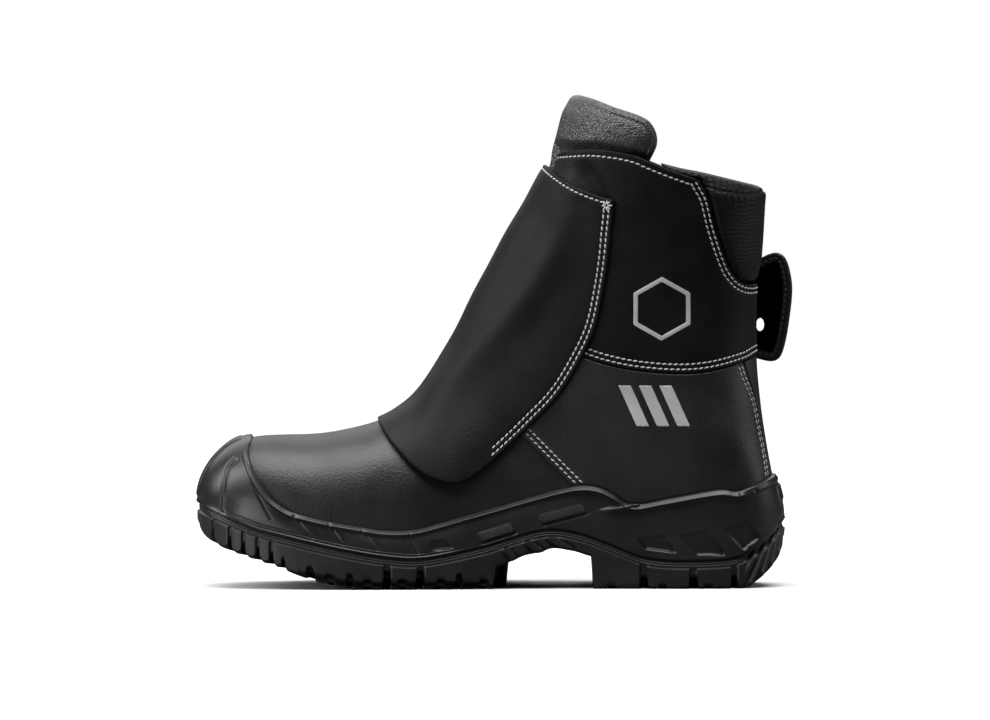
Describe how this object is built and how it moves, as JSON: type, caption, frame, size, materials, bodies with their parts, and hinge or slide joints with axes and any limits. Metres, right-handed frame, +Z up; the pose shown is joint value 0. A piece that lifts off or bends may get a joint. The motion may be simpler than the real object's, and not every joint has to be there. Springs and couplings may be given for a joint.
{
  "type": "safety boot",
  "caption": "Ankle-high black leather safety boot with a smooth flap over the throat, padded tongue and collar, and a lugged sole with toe bumper.",
  "frame": {"origin": "centre of the boot's footprint box, on the floor", "axes": "+X towards the toe, +Y towards the inner side of the foot, +Z up"},
  "size_m": [0.309, 0.1134, 0.2556],
  "materials": {
    "tread_rubber": "matt black rubber",
    "moulded_sole": "satin black moulded sole",
    "insole_felt": "dark felt",
    "smooth_leather": "smooth black leather with a soft sheen",
    "grained_leather": "soft pebbled black leather"
  },
  "bodies": {
    "root": {"outsole": "tread_rubber", "midsole": "moulded_sole", "insole": "insole_felt", "upper": "smooth_leather", "quarter_inner": "smooth_leather", "quarter_outer": "smooth_leather", "heel_stay": "smooth_leather", "shaft_panel": "smooth_leather", "collar_pad": "grained_leather", "tongue": "grained_leather", "front_flap": "smooth_leather", "closing_strap": "smooth_leather"}
  },
  "joints": []
}
